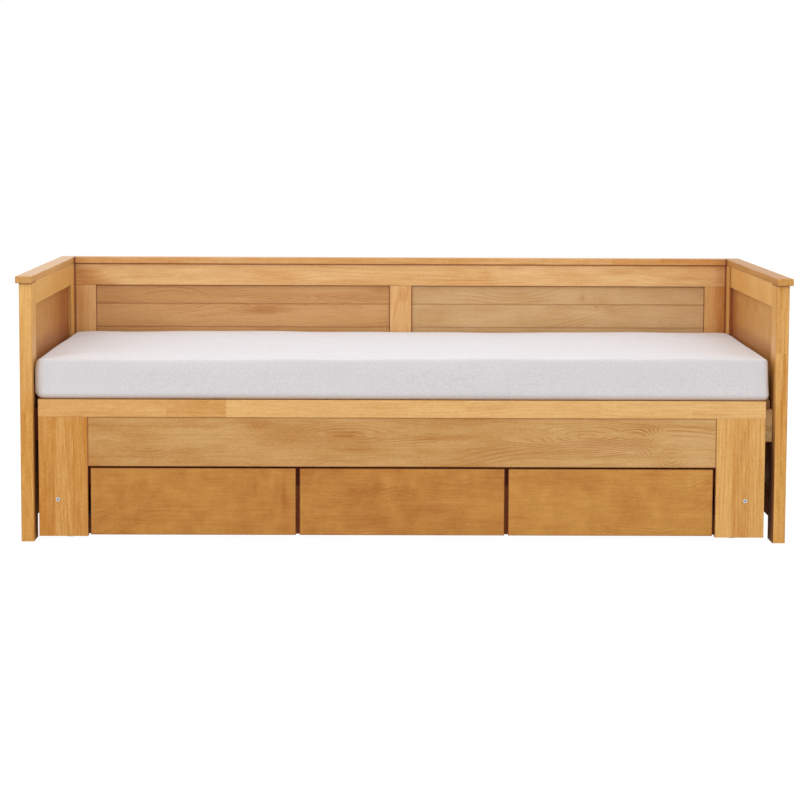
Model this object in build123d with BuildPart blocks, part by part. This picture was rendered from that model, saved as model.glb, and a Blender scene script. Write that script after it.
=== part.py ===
"""Three-sided timber daybed with a pull-out half that carries three drawers.

Origin: on the floor, at the middle of the whole daybed. +X runs along the seat, +Y goes to the back
and +Z is up. The seat is open at the front (-Y), and the front frame, its slats and the drawers slide
out that way.
"""

import os

from build123d import *

# Driving dimensions, in millimetres
seat_width = 2000.0  # between the arms
seat_depth = 1000.0  # from the arms' front edge to the back
deck_height = 385.0  # top of the slats and of the front rail
post_height = 699.0  # top of the arms and back, under their caps
frame_thick = 34.0  # arms and back
foot_height = 62.0  # floor to the lower rails
fit_gap = 0.3  # between pieces that slide or lie loose
cut_over = 5.0  # how far a cut runs past the face it starts from
eased_edge = 1.0  # rounding of the timber's long edges

# Arms
front_post_width = 88.0
rear_post_reach = 86.0  # how far the rear post stands in front of the back
arm_top_rail = 62.0
arm_low_rail = 65.0
panel_thick = 16.0
panel_tongue = 10.0  # how far a panel enters its frame

# Caps
cap_thick = 19.0
cap_overhang = 9.0
back_cap_lip = 8.0  # over the seat
cap_edge = 2.0

# Back
back_top_rail = 66.0
back_low_rail = 65.0
stile_width = 66.0
plank_pitch = 71.6
first_plank = 57.5  # the part of the top plank that shows
plank_groove = 4.0
plank_groove_deep = 2.5

# Slats and what carries them
slat_thick = 25.0
slat_width = 66.0
slat_gap = 8.0
slat_back_gap = 2.0
ledger_thick = 30.0
ledger_height = 88.0
ledger_setback = 43.0  # behind the arms' front edge
bearer_thick = 30.0

# Pull-out front
front_end_play = 18.0  # between the arms and the front's ends, on average
front_left_play = 5.0  # the front stands this much left of the middle
front_setback = 10.0  # behind the arms' front edge
front_rail_height = 47.0
front_rail_thick = 30.0
leg_width = 132.5
leg_thick = 25.0
leg_lift = 13.5  # the rollers carry the front clear of the floor
fascia_height = 134.0
fascia_thick = 20.0
fascia_recess = 2.5
batten_thick = 20.0
batten_play = 10.0  # between the batten's ends and the side ledgers
batten_run = 2.0  # between the batten and the front bearer
pull_kept = 200.0  # of the seat's depth that the sliding slats still cover when fully open
stop_batten_width = 30.0
stop_batten_height = 30.0
stop_gap = 0.5  # left at the stop when the pull-out is fully open

# Drawer case
case_depth = 520.0
case_side_thick = 25.0
case_side_inset = 51.5  # from the front's end to the middle of the side
case_lift = 17.0
case_rail_thick = 25.0
case_low_rail = 43.0
case_top_rail = 54.0
case_stile_width = 34.0
case_back_thick = 16.0

# Drawers
drawer_count = 3
drawer_end_gap = 7.05  # between a leg and the drawer front beside it
drawer_top_gap = 4.8  # under the fascia
drawer_lift = 17.2
drawer_space = 10.7  # between two drawer fronts
drawer_edge = 1.5
box_inset = 15.0  # of the box behind each end of its front
drawer_back_gap = 34.3  # between a shut drawer's box and the case's back
box_wall = 12.0
box_top_gap = 3.7  # under the case's top rail
bottom_thick = 5.0
bottom_raise = 8.0
bottom_groove = 5.0
runner_width = 32.0
runner_height = 20.0
runner_lip_thick = 10.0
runner_lip_height = 25.0
runner_play = 1.0

# Rollers
wheel_radius = 22.0
wheel_width = 18.0
wheel_edge = 1.5
wheel_dish_radius = 15.0
wheel_dish_deep = 2.0
wheel_hub_radius = 8.0
axle_radius = 4.0
axle_head_radius = 6.0
axle_head_thick = 2.0
axle_play = 0.05
cheek_thick = 2.0
cheek_gap = 0.8
cheek_half_length = 18.0
cheek_low = 12.0
web_gap = 4.0  # over the wheel
roller_setback = 30.0  # of a wheel's axle behind the front rail or before the case's back

# Bolts and screws
bolt_radius = 3.0
bolt_play = 0.1
bolt_reach = 100.0
bolt_head_radius = 8.5
bolt_head_thick = 2.2
socket_radius = 2.3
socket_deep = 1.6
nut_radius = 5.0
nut_length = 20.0
nut_play = 0.15
nut_back = 10.0  # from the bolt's tip to the middle of its nut
bearer_bolt_rise = 44.0  # above the bearer's lower edge
bearer_bolt_back = 11.0  # behind the bearer's front face, clear of the arm panel's tongue
leg_screw_height = 114.0
leg_screw_reach = 70.0
leg_screw_head_radius = 5.75
leg_screw_head_thick = 1.5

# Mattress
mattress_end_play = 8.0  # between the arms and its ends, on average
mattress_side = 110.0  # height of its side
mattress_crown = 7.0
mattress_left = 6.0  # it lies this much left of the middle
mattress_back_gap = 3.0
mattress_front_gap = 13.0  # behind the arms' front edge
mattress_edge = 10.0  # rounding along its top and bottom edges
mattress_corner = 30.0
mattress_draw = 4.0  # how far a side is drawn in between its corners
round_steps = (0, 35, 65, 90)  # degrees around each rounded edge
crown_inset_shares = (0.12, 0.26, 0.38)
crown_height_shares = (0.6, 0.9, 1.0)

# Planes that several pieces share
overall_depth = seat_depth + frame_thick + 2 * cap_overhang
arm_front = cap_overhang - overall_depth / 2
back_face = arm_front + seat_depth
back_rear = back_face + frame_thick
arm_inner = seat_width / 2
arm_outer = arm_inner + frame_thick
panel_inset = (frame_thick - panel_thick) / 2
post_rear = arm_front + front_post_width
rear_post_front = back_face - rear_post_reach
slat_bottom = deck_height - slat_thick
slat_pitch = slat_width + slat_gap
fixed_slat_count = int((seat_width + slat_gap) / slat_pitch + 1) // 2
ledger_bottom = slat_bottom - ledger_height
ledger_inner = arm_inner - ledger_thick

pull_travel = seat_depth - pull_kept
front_length = seat_width - 2 * front_end_play
front_face = arm_front + front_setback
rail_rear = front_face + front_rail_thick
leg_rear = front_face + leg_thick
batten_rear = rail_rear + batten_thick
bearer_front = batten_rear + batten_run
bearer_rear = bearer_front + bearer_thick
leg_top = deck_height - front_rail_height
fascia_bottom = leg_top - fascia_height
front_left = -front_length / 2 - front_left_play
front_right = front_length / 2 - front_left_play
leg_left_inner = front_left + leg_width
leg_right_inner = front_right - leg_width

case_side_apart = front_length - 2 * case_side_inset
case_top = fascia_bottom
case_rear = leg_rear + case_depth
case_rail_rear = leg_rear + case_rail_thick
case_inner_left = -front_left_play - (case_side_apart - case_side_thick) / 2
case_inner_right = -front_left_play + (case_side_apart - case_side_thick) / 2
case_opening_low = case_lift + case_low_rail
case_opening_high = case_top - case_top_rail
case_back_front = case_rear - case_back_thick
drawers_width = front_length - 2 * (leg_width + drawer_end_gap)
drawer_pitch = (drawers_width + drawer_space) / drawer_count
drawer_front_width = drawer_pitch - drawer_space
drawer_top = fascia_bottom - drawer_top_gap
drawer_face = front_face + fascia_recess
drawer_front_rear = leg_rear - fit_gap
box_half = drawer_front_width / 2 - box_inset
box_low = case_opening_low + fit_gap
box_high = case_opening_high - box_top_gap
box_rear = case_back_front - drawer_back_gap
sides = {"left": -1, "right": 1}

os.makedirs("parts", exist_ok=True)


def span(side, near, far):
    """The two distances from the middle as a low and a high X, on the left (-1) or right (1)."""
    return tuple(sorted((side * near, side * far)))


def bar(x, y, z, mode=Mode.ADD):
    """A rectangular length of timber, or a cut of that shape, between its low and high faces."""
    with Locations((x[0], y[0], z[0])):
        Box(x[1] - x[0], y[1] - y[0], z[1] - z[0], align=(Align.MIN, Align.MIN, Align.MIN), mode=mode)


def board(x, y, z, along, radius=eased_edge):
    """A board whose edges along its length are eased."""
    bar(x, y, z)
    fillet(edges(Select.LAST).filter_by(along), radius=radius)


def rod(plane, centre, radius, length, mode=Mode.ADD):
    """A round bar or hole that leaves the plane along its normal."""
    with BuildSketch(plane) as disc:
        with Locations(centre):
            Circle(radius)
    extrude(disc.sketch, amount=length, mode=mode)


def save(piece, name):
    """Names a finished piece and writes it."""
    piece.part.label = name
    export_step(piece.part, f"parts/{name}.step")


# Bolts that hold the arms: (Y, Z) of each one, the same on both arms
back_middle = back_face + frame_thick / 2
top_bolt = (back_middle, post_height - back_top_rail / 2)
low_bolt = (back_middle, foot_height + back_low_rail / 2)
bearer_bolt = (bearer_front + bearer_bolt_back, ledger_bottom + bearer_bolt_rise)
nut_apart = arm_outer - bolt_reach + nut_back


def bolt_hole(side, place, near, far):
    """A clearance hole for an arm bolt, through the timber between two distances from the middle."""
    start = side * (near - cut_over)
    length = side * (far - near + 2 * cut_over)
    rod(Plane.YZ.offset(start), place, bolt_radius + bolt_play, length, Mode.SUBTRACT)


def nut_hole(side, place, rear):
    """The cross bore of a barrel nut, from the rear face of the timber to just past the nut."""
    depth = rear - place[0] + nut_length / 2 + nut_play
    plane = Plane.XZ.offset(-rear)
    rod(plane, (side * nut_apart, place[1]), nut_radius + nut_play, depth, Mode.SUBTRACT)


# Arms
arm_panel_y = (post_rear - panel_tongue, rear_post_front + panel_tongue)
arm_panel_z = (foot_height + arm_low_rail - panel_tongue, post_height - arm_top_rail + panel_tongue)


def make_arm(side_name, side):
    """The two posts, two rails, panel and cap of one arm."""
    across = span(side, arm_inner, arm_outer)
    panel_x = span(side, arm_inner + panel_inset, arm_outer - panel_inset)

    with BuildPart() as front_post:
        board(across, (arm_front, post_rear), (0, post_height), Axis.Z)
        bar(panel_x, arm_panel_y, arm_panel_z, Mode.SUBTRACT)
        bolt_hole(side, bearer_bolt, arm_inner, arm_outer)
    save(front_post, f"{side_name}_arm_front_post")

    with BuildPart() as rear_post:
        board(across, (rear_post_front, back_rear), (0, post_height), Axis.Z)
        bar(panel_x, arm_panel_y, arm_panel_z, Mode.SUBTRACT)
        bolt_hole(side, top_bolt, arm_inner, arm_outer)
        bolt_hole(side, low_bolt, arm_inner, arm_outer)
    save(rear_post, f"{side_name}_arm_rear_post")

    with BuildPart() as top_rail:
        board(across, (post_rear, rear_post_front), (post_height - arm_top_rail, post_height), Axis.Y)
        bar(panel_x, arm_panel_y, arm_panel_z, Mode.SUBTRACT)
    save(top_rail, f"{side_name}_arm_top_rail")

    with BuildPart() as low_rail:
        board(across, (post_rear, rear_post_front), (foot_height, foot_height + arm_low_rail), Axis.Y)
        bar(panel_x, arm_panel_y, arm_panel_z, Mode.SUBTRACT)
    save(low_rail, f"{side_name}_arm_bottom_rail")

    with BuildPart() as panel:
        bar(panel_x, arm_panel_y, arm_panel_z)
    save(panel, f"{side_name}_arm_panel")

    with BuildPart() as cap:
        cap_x = span(side, arm_inner, arm_outer + cap_overhang)
        cap_y = (arm_front - cap_overhang, back_rear + cap_overhang)
        bar(cap_x, cap_y, (post_height, post_height + cap_thick))
        fillet(cap.edges(), radius=cap_edge)
    save(cap, f"{side_name}_arm_cap")


for side_name, side in sides.items():
    make_arm(side_name, side)

# Back: a full-length rail above and below, three stiles, and two planked panels let into them
back_y = (back_face, back_rear)
stile_z = (foot_height + back_low_rail, post_height - back_top_rail)
panel_y = (back_face + panel_inset, back_rear - panel_inset)
panel_z = (stile_z[0] - panel_tongue, stile_z[1] + plank_pitch - first_plank)
back_panels = {
    name: span(side, stile_width / 2 - panel_tongue, arm_inner - stile_width + panel_tongue)
    for name, side in sides.items()
}


def let_in_panels():
    """Cuts the grooves that hold both back panels."""
    for panel_x in back_panels.values():
        bar(panel_x, panel_y, panel_z, Mode.SUBTRACT)


with BuildPart() as back_top:
    board((-arm_inner, arm_inner), back_y, (stile_z[1], post_height), Axis.X)
    let_in_panels()
    for side in sides.values():
        bolt_hole(side, top_bolt, nut_apart - nut_back, arm_inner)
        nut_hole(side, top_bolt, back_rear)
save(back_top, "back_top_rail")

with BuildPart() as back_low:
    board((-arm_inner, arm_inner), back_y, (foot_height, stile_z[0]), Axis.X)
    let_in_panels()
    for side in sides.values():
        bolt_hole(side, low_bolt, nut_apart - nut_back, arm_inner)
        nut_hole(side, low_bolt, back_rear)
save(back_low, "back_bottom_rail")

with BuildPart() as centre_stile:
    board((-stile_width / 2, stile_width / 2), back_y, stile_z, Axis.Z)
    let_in_panels()
save(centre_stile, "back_centre_stile")

for side_name, side in sides.items():
    with BuildPart() as end_stile:
        board(span(side, arm_inner - stile_width, arm_inner), back_y, stile_z, Axis.Z)
        let_in_panels()
    save(end_stile, f"back_{side_name}_stile")

for side_name, panel_x in back_panels.items():
    with BuildPart() as back_panel:
        bar(panel_x, panel_y, panel_z)
        groove_z = stile_z[1] - first_plank
        while groove_z > stile_z[0]:
            cut_z = (groove_z - plank_groove / 2, groove_z + plank_groove / 2)
            front_cut = (panel_y[0] - cut_over, panel_y[0] + plank_groove_deep)
            rear_cut = (panel_y[1] - plank_groove_deep, panel_y[1] + cut_over)
            bar((panel_x[0] - cut_over, panel_x[1] + cut_over), front_cut, cut_z, Mode.SUBTRACT)
            bar((panel_x[0] - cut_over, panel_x[1] + cut_over), rear_cut, cut_z, Mode.SUBTRACT)
            groove_z -= plank_pitch
    save(back_panel, f"back_{side_name}_panel")

with BuildPart() as back_cap:
    cap_y = (back_face - back_cap_lip, back_rear + cap_overhang)
    board((-arm_inner, arm_inner), cap_y, (post_height, post_height + cap_thick), Axis.X, cap_edge)
save(back_cap, "back_cap")

# Ledgers on the arms and the back, and the front bearer between them
ledger_z = (ledger_bottom, slat_bottom)
for side_name, side in sides.items():
    with BuildPart() as ledger:
        board(span(side, ledger_inner, arm_inner), (arm_front + ledger_setback, back_face), ledger_z, Axis.Y)
        bolt_hole(side, bearer_bolt, ledger_inner, arm_inner)
    save(ledger, f"{side_name}_ledger")

with BuildPart() as back_ledger:
    board((-ledger_inner, ledger_inner), (back_face - ledger_thick, back_face), ledger_z, Axis.X)
save(back_ledger, "back_ledger")

with BuildPart() as bearer:
    board((-ledger_inner, ledger_inner), (bearer_front, bearer_rear), ledger_z, Axis.X)
    for side in sides.values():
        bolt_hole(side, bearer_bolt, nut_apart - nut_back, ledger_inner)
        nut_hole(side, bearer_bolt, bearer_rear)
save(bearer, "front_bearer")

# Slats: fixed ones and sliding ones take turns across the deck
first_slat = -(fixed_slat_count - 1) * slat_pitch
slat_z = (slat_bottom, deck_height)


def slat(middle, y):
    """One slat whose middle is at this X."""
    board((middle - slat_width / 2, middle + slat_width / 2), y, slat_z, Axis.Y)


with BuildPart() as fixed_slats:
    for index in range(fixed_slat_count):
        slat(first_slat + 2 * index * slat_pitch, (bearer_front, back_face - slat_back_gap))
save(fixed_slats, "fixed_slats")

with BuildPart() as sliding_slats:
    for index in range(fixed_slat_count - 1):
        slat(first_slat + (2 * index + 1) * slat_pitch, (rail_rear, back_face - 2 * slat_back_gap))
save(sliding_slats, "sliding_slats")

# Bolts through the arms and their barrel nuts
with BuildPart() as frame_bolts:
    for side in sides.values():
        for place in (top_bolt, low_bolt, bearer_bolt):
            rod(Plane.YZ.offset(side * arm_outer), place, bolt_radius, -side * bolt_reach)
            rod(Plane.YZ.offset(side * arm_outer), place, bolt_head_radius, side * bolt_head_thick)
            with BuildSketch(Plane.YZ.offset(side * (arm_outer + bolt_head_thick))) as socket:
                with Locations(place):
                    RegularPolygon(socket_radius, 6)
            extrude(socket.sketch, amount=-side * socket_deep, mode=Mode.SUBTRACT)
save(frame_bolts, "frame_bolts")

with BuildPart() as barrel_nuts:
    for side in sides.values():
        for place in (top_bolt, low_bolt, bearer_bolt):
            nut_end = Plane.XZ.offset(-place[0] - nut_length / 2)
            rod(nut_end, (side * nut_apart, place[1]), nut_radius, nut_length)
            bolt_hole(side, place, nut_apart - nut_radius, nut_apart + nut_radius)
save(barrel_nuts, "barrel_nuts")

# Pull-out front: a rail over two broad legs, with a fascia between them
with BuildPart() as front_rail:
    board((front_left, front_right), (front_face, rail_rear), (leg_top, deck_height), Axis.X)
save(front_rail, "pullout_front_rail")

leg_spans = {"left": (front_left, leg_left_inner), "right": (leg_right_inner, front_right)}
screw_places = {name: side * case_side_apart / 2 - front_left_play for name, side in sides.items()}
for side_name, leg_x in leg_spans.items():
    with BuildPart() as leg:
        board(leg_x, (front_face, leg_rear), (leg_lift, leg_top), Axis.Z)
        hole_plane = Plane.XZ.offset(-leg_rear - cut_over)
        hole_length = leg_thick + 2 * cut_over
        place = (screw_places[side_name], leg_screw_height)
        rod(hole_plane, place, bolt_radius + bolt_play, hole_length, Mode.SUBTRACT)
    save(leg, f"pullout_{side_name}_leg")

with BuildPart() as fascia:
    fascia_y = (drawer_face, drawer_face + fascia_thick)
    board((leg_left_inner, leg_right_inner), fascia_y, (fascia_bottom, leg_top), Axis.X)
save(fascia, "pullout_fascia")

batten_x = (batten_play - ledger_inner, ledger_inner - batten_play)
with BuildPart() as batten:
    board(batten_x, (rail_rear, batten_rear), (leg_top, slat_bottom), Axis.X)
save(batten, "sliding_slat_batten")

stop_front = bearer_rear + pull_travel + stop_gap
with BuildPart() as stop_batten:
    stop_y = (stop_front, stop_front + stop_batten_width)
    board(batten_x, stop_y, (slat_bottom - stop_batten_height, slat_bottom), Axis.X)
save(stop_batten, "sliding_slat_stop_batten")

# Drawer case behind the legs: two sides, a face frame and a back
for side_name, side in sides.items():
    with BuildPart() as case_side:
        middle = screw_places[side_name]
        side_x = (middle - case_side_thick / 2, middle + case_side_thick / 2)
        board(side_x, (leg_rear, case_rear), (case_lift, case_top), Axis.Y)
        hole_plane = Plane.XZ.offset(-leg_rear - leg_screw_reach + leg_thick - cut_over)
        hole_length = leg_screw_reach - leg_thick + 2 * cut_over
        rod(hole_plane, (middle, leg_screw_height), bolt_radius + bolt_play, hole_length, Mode.SUBTRACT)
    save(case_side, f"case_{side_name}_side")

case_x = (case_inner_left, case_inner_right)
case_rail_y = (leg_rear, case_rail_rear)
with BuildPart() as case_top_board:
    board(case_x, case_rail_y, (case_opening_high, case_top), Axis.X)
save(case_top_board, "case_top_rail")

with BuildPart() as case_low_board:
    board(case_x, case_rail_y, (case_lift, case_opening_low), Axis.X)
save(case_low_board, "case_bottom_rail")

with BuildPart() as case_stiles:
    for index in range(drawer_count - 1):
        middle = (index + 1 - drawer_count / 2) * drawer_pitch - front_left_play
        stile_x = (middle - case_stile_width / 2, middle + case_stile_width / 2)
        board(stile_x, case_rail_y, (case_opening_low, case_opening_high), Axis.Z)
save(case_stiles, "case_stiles")

with BuildPart() as case_back:
    board(case_x, (case_back_front, case_rear), (case_lift, case_top), Axis.X)
save(case_back, "case_back")

# Drawers, and the L-shaped runners under the edges of each box
drawer_names = ("left", "middle", "right")
drawer_middles = {
    name: (index - (drawer_count - 1) / 2) * drawer_pitch - front_left_play
    for index, name in enumerate(drawer_names)
}


def make_drawer(name, middle):
    """The front, two sides, back and bottom of one drawer."""
    inner_half = box_half - box_wall
    bottom_z = (box_low + bottom_raise, box_low + bottom_raise + bottom_thick)
    bottom_x = (middle - inner_half - bottom_groove, middle + inner_half + bottom_groove)
    bottom_y = (drawer_front_rear, box_rear - box_wall + bottom_groove)

    with BuildPart() as front:
        front_x = (middle - drawer_front_width / 2, middle + drawer_front_width / 2)
        bar(front_x, (drawer_face, drawer_front_rear), (drawer_lift, drawer_top))
        fillet(front.faces().sort_by(Axis.Y)[0].edges(), radius=drawer_edge)
    save(front, f"{name}_drawer_front")

    with BuildPart() as box_sides:
        for side in sides.values():
            wall_x = tuple(sorted((middle + side * inner_half, middle + side * box_half)))
            board(wall_x, (drawer_front_rear, box_rear), (box_low, box_high), Axis.Y)
        bar(bottom_x, bottom_y, bottom_z, Mode.SUBTRACT)
    save(box_sides, f"{name}_drawer_sides")

    with BuildPart() as box_back:
        back_x = (middle - inner_half, middle + inner_half)
        board(back_x, (box_rear - box_wall, box_rear), (box_low, box_high), Axis.X)
        bar(bottom_x, bottom_y, bottom_z, Mode.SUBTRACT)
    save(box_back, f"{name}_drawer_back")

    with BuildPart() as bottom:
        bar(bottom_x, bottom_y, bottom_z)
    save(bottom, f"{name}_drawer_bottom")


for name, middle in drawer_middles.items():
    make_drawer(name, middle)

with BuildPart() as runners:
    runner_y = (case_rail_rear, case_back_front)
    for middle in drawer_middles.values():
        for side in sides.values():
            lip_near = middle + side * (box_half + runner_play)
            lip_far = lip_near + side * runner_lip_thick
            shelf_near = lip_far - side * runner_width
            shelf_z = (case_opening_low - runner_height, case_opening_low)
            bar(tuple(sorted((shelf_near, lip_far))), runner_y, shelf_z)
            lip_z = (case_opening_low, case_opening_low + runner_lip_height)
            bar(tuple(sorted((lip_near, lip_far))), runner_y, lip_z)
save(runners, "drawer_runners")

# Screws through the legs into the case's sides
with BuildPart() as leg_screws:
    for middle in screw_places.values():
        place = (middle, leg_screw_height)
        rod(Plane.XZ.offset(-front_face), place, bolt_radius, -leg_screw_reach)
        rod(Plane.XZ.offset(-front_face), place, leg_screw_head_radius, leg_screw_head_thick)
        with BuildSketch(Plane.XZ.offset(leg_screw_head_thick - front_face)) as socket:
            with Locations(place):
                RegularPolygon(socket_radius, 6)
        extrude(socket.sketch, amount=-socket_deep, mode=Mode.SUBTRACT)
save(leg_screws, "leg_screws")

# Rollers: a wheel in a bracket near each end of both case sides
wheel_rows = {
    "front": case_rail_rear + roller_setback,
    "rear": case_back_front - roller_setback,
}
bracket_width = 2 * (cheek_thick + cheek_gap) + wheel_width
web_low = 2 * wheel_radius + web_gap


def wheel_side(side_name):
    """The inner face of a case side, and which way its bracket stands from it."""
    return (case_inner_left, 1) if side_name == "left" else (case_inner_right, -1)


with BuildPart() as brackets:
    for middle in wheel_rows.values():
        for side_name in sides:
            wall, inward = wheel_side(side_name)
            far = wall + inward * bracket_width
            length = (middle - cheek_half_length, middle + cheek_half_length)
            bar(tuple(sorted((wall, far))), length, (cheek_low, web_low + cheek_thick))
            hollow = tuple(sorted((wall + inward * cheek_thick, far - inward * cheek_thick)))
            hollow_y = (length[0] - cut_over, length[1] + cut_over)
            bar(hollow, hollow_y, (cheek_low - cut_over, web_low), Mode.SUBTRACT)
            axle_place = (middle, wheel_radius)
            rod(Plane.YZ.offset(wall), axle_place, axle_radius, inward * bracket_width)
            rod(Plane.YZ.offset(far), axle_place, axle_head_radius, inward * axle_head_thick)
save(brackets, "roller_brackets")

for row, middle in wheel_rows.items():
    for side_name in sides:
        wall, inward = wheel_side(side_name)
        near = wall + inward * (cheek_thick + cheek_gap)
        far = near + inward * wheel_width
        place = (middle, wheel_radius)
        with BuildPart() as wheel:
            rod(Plane.YZ.offset(near), place, wheel_radius, inward * wheel_width)
            rims = wheel.edges().filter_by(GeomType.CIRCLE)
            fillet(rims, radius=wheel_edge)
            for face, way in ((near, inward), (far, -inward)):
                with BuildSketch(Plane.YZ.offset(face)) as dish:
                    with Locations(place):
                        Circle(wheel_dish_radius)
                        Circle(wheel_hub_radius, mode=Mode.SUBTRACT)
                extrude(dish.sketch, amount=way * wheel_dish_deep, mode=Mode.SUBTRACT)
            bore_start = near - inward * cut_over
            bore_length = inward * (wheel_width + 2 * cut_over)
            rod(Plane.YZ.offset(bore_start), place, axle_radius + axle_play, bore_length, Mode.SUBTRACT)
        save(wheel, f"{row}_{side_name}_wheel")

# Mattress: rounded along every edge, crowned on top, its sides drawn in between the corners
mattress_width = seat_width - 2 * mattress_end_play
mattress_depth = seat_depth - mattress_back_gap - mattress_front_gap
mattress_x = -mattress_left
mattress_y = back_face - mattress_back_gap - mattress_depth / 2
mattress_low = deck_height + fit_gap


def mattress_outline(height, inset):
    """One level of the mattress: four shallow arcs with rounded corners."""
    half_x = mattress_width / 2 - inset
    half_y = mattress_depth / 2 - inset
    corners = [(-half_x, -half_y), (half_x, -half_y), (half_x, half_y), (-half_x, half_y)]
    drawn_x = half_x - mattress_draw
    drawn_y = half_y - mattress_draw
    drawn = [(0, -drawn_y), (drawn_x, 0), (0, drawn_y), (-drawn_x, 0)]
    with BuildSketch(Plane((mattress_x, mattress_y, mattress_low + height))) as level:
        with BuildLine():
            for index, middle in enumerate(drawn):
                ThreePointArc(corners[index], middle, corners[(index + 1) % len(corners)])
        make_face()
        fillet(level.vertices(), radius=mattress_corner)
    return level.sketch


with BuildPart() as mattress:
    levels = []
    for angle in round_steps:
        turned = Vector(0, mattress_edge).rotate(Axis.Z, -angle)
        levels.append(mattress_outline(mattress_edge - turned.Y, mattress_edge - turned.X))
    for angle in reversed(round_steps):
        turned = Vector(0, mattress_edge).rotate(Axis.Z, -angle)
        levels.append(mattress_outline(mattress_side - mattress_edge + turned.Y, mattress_edge - turned.X))
    for inset_share, height_share in zip(crown_inset_shares, crown_height_shares):
        height = mattress_side + height_share * mattress_crown
        levels.append(mattress_outline(height, inset_share * mattress_depth))
    loft(levels, ruled=True)
save(mattress, "mattress")
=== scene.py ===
import math

import bpy
import numpy as np
from mathutils import Matrix, Vector


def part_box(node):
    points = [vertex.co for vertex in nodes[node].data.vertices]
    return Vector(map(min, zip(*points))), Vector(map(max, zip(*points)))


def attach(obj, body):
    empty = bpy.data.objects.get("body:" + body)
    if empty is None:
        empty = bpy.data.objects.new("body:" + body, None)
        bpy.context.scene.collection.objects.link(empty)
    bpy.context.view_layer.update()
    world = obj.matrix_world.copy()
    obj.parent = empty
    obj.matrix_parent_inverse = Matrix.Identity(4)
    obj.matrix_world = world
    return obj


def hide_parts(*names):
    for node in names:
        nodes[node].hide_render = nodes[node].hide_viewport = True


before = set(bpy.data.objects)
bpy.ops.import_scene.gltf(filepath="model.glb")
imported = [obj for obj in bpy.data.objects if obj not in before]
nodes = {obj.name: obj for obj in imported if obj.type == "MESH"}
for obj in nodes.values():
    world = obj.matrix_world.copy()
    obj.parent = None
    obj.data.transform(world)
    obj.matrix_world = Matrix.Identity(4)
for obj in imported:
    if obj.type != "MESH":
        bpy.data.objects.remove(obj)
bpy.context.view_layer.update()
print("frame loaded with", len(nodes), "nodes")


# Shader tools

def tint(red, green, blue):
    # a colour picked on a screen, 0 to 255, as the linear value that shaders use
    linear = [((c / 255 + 0.055) / 1.055) ** 2.4 if c > 10 else c / 255 / 12.92 for c in (red, green, blue)]
    return (*linear, 1.0)


class Wire:
    # one output socket; arithmetic on it adds the Math nodes that work it out
    def __init__(self, shader, socket):
        self.shader = shader
        self.socket = socket

    def maths(self, operation, *others, clamp=False):
        values = dict(enumerate((self, *others)))
        return self.shader.add("Math", {"operation": operation, "use_clamp": clamp}, values)

    def __add__(self, other):
        return self.maths("ADD", other)

    def __radd__(self, other):
        return self.maths("ADD", other)

    def __sub__(self, other):
        return self.maths("SUBTRACT", other)

    def __rsub__(self, other):
        return self.shader.add("Math", {"operation": "SUBTRACT"}, {0: other, 1: self})

    def __mul__(self, other):
        return self.maths("MULTIPLY", other)

    def __rmul__(self, other):
        return self.maths("MULTIPLY", other)

    def __truediv__(self, other):
        return self.maths("DIVIDE", other)

    def __abs__(self):
        return self.maths("ABSOLUTE")

    def floor(self):
        return self.maths("FLOOR")

    def fraction(self):
        return self.maths("FRACT")

    def sine(self):
        return self.maths("SINE")

    def least(self, other):
        return self.maths("MINIMUM", other)

    def most(self, other):
        return self.maths("MAXIMUM", other)

    def other(self, name):
        # another output of the same node
        return Wire(self.shader, self.socket.node.outputs[name])


class Shader:
    # a material, or the world, with an empty node tree
    def __init__(self, name, owner=None):
        self.owner = owner or bpy.data.materials.new(name)
        self.owner.use_nodes = True
        self.tree = self.owner.node_tree
        self.tree.nodes.clear()

    def add(self, kind, settings=None, values=None, output=0):
        # one node: its settings are set first, then its inputs get values or links
        node = self.tree.nodes.new("ShaderNode" + kind)
        for key, value in (settings or {}).items():
            if key == "stops":
                ramp = node.color_ramp
                while len(ramp.elements) < len(value):
                    ramp.elements.new(0.5)
                for element, (place, grey) in zip(ramp.elements, value):
                    element.position = place
                    element.color = (grey, grey, grey, 1)
            elif key == "interpolation" and kind == "ValToRGB":
                node.color_ramp.interpolation = value
            else:
                setattr(node, key, value)
        for key, value in (values or {}).items():
            if isinstance(value, Wire):
                self.tree.links.new(value.socket, node.inputs[key])
            else:
                node.inputs[key].default_value = value
        return Wire(self, node.outputs[output]) if len(node.outputs) else node

    def objectPlace(self):
        return self.add("TexCoord").other("Object")

    def split(self, vector):
        first = self.add("SeparateXYZ", values={0: vector})
        return first, first.other("Y"), first.other("Z")

    def join(self, x, y, z):
        return self.add("CombineXYZ", values={0: x, 1: y, 2: z})

    def vector(self, operation, first, second):
        return self.add("VectorMath", {"operation": operation}, {0: first, 1: second})

    def noise(self, place, scale, detail=2.0, roughness=0.5):
        return self.add("TexNoise", values={"Vector": place, "Scale": scale, "Detail": detail, "Roughness": roughness})

    def blend(self, amount, first, second, kind="MIX"):
        return self.add("Mix", {"data_type": "RGBA", "blend_type": kind}, {0: amount, 6: first, 7: second}, 2)

    def smooth(self, value, low, high, start=0.0, end=1.0):
        # start below low, end above high, and an S-shaped rise between
        ranges = {"Value": value, "From Min": low, "From Max": high, "To Min": start, "To Max": end}
        return self.add("MapRange", {"interpolation_type": "SMOOTHSTEP"}, ranges)

    def bump(self, strength, distance, height):
        return self.add("Bump", values={"Strength": strength, "Distance": distance, "Height": height})

    def finish(self, surface, target="Material"):
        self.add("Output" + target, values={"Surface": surface})
        return self.owner

    def principled(self, values):
        return self.finish(self.add("BsdfPrincipled", values=values))


# Timber: boards glued up from strips, stained and lacquered

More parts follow.
